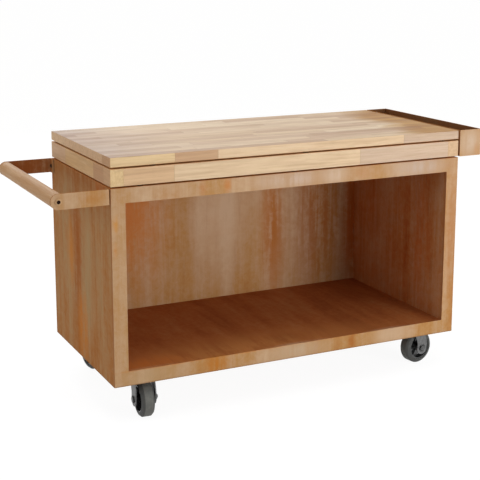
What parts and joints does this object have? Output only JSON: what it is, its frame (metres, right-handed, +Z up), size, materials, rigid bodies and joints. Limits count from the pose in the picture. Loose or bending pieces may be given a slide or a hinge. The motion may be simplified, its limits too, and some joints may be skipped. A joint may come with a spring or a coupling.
{
  "type": "prep table",
  "caption": "Rolling outdoor prep table: open-front weathering-steel cabinet under a hardwood worktop, with a push handle, a herb trough and swivel casters.",
  "frame": {"origin": "on the floor, under the middle of the whole table", "axes": "+X to the right along the open front, +Y to the back, +Z up; the handle is on the -X end and the herb trough on the +X end"},
  "size_m": [1.645, 0.6506, 0.9071],
  "materials": {
    "weathering_steel": "weathering steel with an even orange-brown patina, matt to satin",
    "hardwood": "finger-jointed light hardwood staves, oiled",
    "fasteners": "dark oxidised steel",
    "caster_steel": "grey zinc-plated pressed steel",
    "wheel_core": "black moulded nylon",
    "tyre": "grey non-marking rubber"
  },
  "bodies": {
    "table": {"left_side_shell": "weathering_steel", "right_side_shell": "weathering_steel", "top_rail": "weathering_steel", "bottom_rail": "weathering_steel", "floor_panel": "weathering_steel", "back_panel": "weathering_steel", "top_deck": "weathering_steel", "caster_channels": "weathering_steel", "left_frame_board": "hardwood", "right_frame_board": "hardwood", "front_frame_board": "hardwood", "rear_frame_board": "hardwood", "frame_battens": "hardwood", "worktop": "hardwood", "frame_bolts": "fasteners", "frame_spacers": "fasteners", "worktop_screws": "fasteners", "worktop_spacers": "fasteners", "front_handle_arm": "weathering_steel", "rear_handle_arm": "weathering_steel", "handle_rod": "hardwood", "rod_bolts": "fasteners", "handle_bolts": "fasteners", "handle_spacers": "fasteners", "herb_trough": "weathering_steel", "trough_screws": "fasteners", "trough_spacers": "fasteners", "plate_bolts": "fasteners", "caster_plate_front_left": "caster_steel", "king_pin_front_left": "caster_steel", "caster_plate_front_right": "caster_steel", "king_pin_front_right": "caster_steel", "caster_plate_rear_left": "caster_steel", "king_pin_rear_left": "caster_steel", "caster_plate_rear_right": "caster_steel", "king_pin_rear_right": "caster_steel"},
    "fork_front_left": {"ball_ring_front_left": "caster_steel", "fork_front_left": "caster_steel", "axle_bolt_front_left": "fasteners", "axle_sleeve_front_left": "caster_steel"},
    "wheel_front_left": {"wheel_hub_front_left": "wheel_core", "tyre_front_left": "tyre"},
    "fork_front_right": {"ball_ring_front_right": "caster_steel", "fork_front_right": "caster_steel", "axle_bolt_front_right": "fasteners", "axle_sleeve_front_right": "caster_steel"},
    "wheel_front_right": {"wheel_hub_front_right": "wheel_core", "tyre_front_right": "tyre"},
    "fork_rear_left": {"ball_ring_rear_left": "caster_steel", "fork_rear_left": "caster_steel", "axle_bolt_rear_left": "fasteners", "axle_sleeve_rear_left": "caster_steel"},
    "wheel_rear_left": {"wheel_hub_rear_left": "wheel_core", "tyre_rear_left": "tyre"},
    "fork_rear_right": {"ball_ring_rear_right": "caster_steel", "fork_rear_right": "caster_steel", "axle_bolt_rear_right": "fasteners", "axle_sleeve_rear_right": "caster_steel"},
    "wheel_rear_right": {"wheel_hub_rear_right": "wheel_core", "tyre_rear_right": "tyre"}
  },
  "joints": [
    {"name": "swivel_front_left", "type": "hinge", "parent": "table", "child": "fork_front_left", "pos_m": [-0.498, -0.2195, 0.15], "axis": [0, 0, 1], "continuous": true},
    {"name": "roll_front_left", "type": "hinge", "parent": "fork_front_left", "child": "wheel_front_left", "pos_m": [-0.50032, -0.25743, 0.0625], "axis": [0.9981, -0.061, 0], "continuous": true},
    {"name": "swivel_front_right", "type": "hinge", "parent": "table", "child": "fork_front_right", "pos_m": [0.596, -0.2195, 0.15], "axis": [0, 0, 1], "continuous": true},
    {"name": "roll_front_right", "type": "hinge", "parent": "fork_front_right", "child": "wheel_front_right", "pos_m": [0.63363, -0.21421, 0.0625], "axis": [-0.1392, 0.9903, 0], "continuous": true},
    {"name": "swivel_rear_left", "type": "hinge", "parent": "table", "child": "fork_rear_left", "pos_m": [-0.498, 0.2195, 0.15], "axis": [0, 0, 1], "continuous": true},
    {"name": "roll_rear_left", "type": "hinge", "parent": "fork_rear_left", "child": "wheel_rear_left", "pos_m": [-0.5059, 0.25667, 0.0625], "axis": [-0.9781, -0.2079, 0], "continuous": true},
    {"name": "swivel_rear_right", "type": "hinge", "parent": "table", "child": "fork_rear_right", "pos_m": [0.596, 0.2195, 0.15], "axis": [0, 0, 1], "continuous": true},
    {"name": "roll_rear_right", "type": "hinge", "parent": "fork_rear_right", "child": "wheel_rear_right", "pos_m": [0.61023, 0.25473, 0.0625], "axis": [-0.9272, 0.3746, 0], "continuous": true}
  ]
}
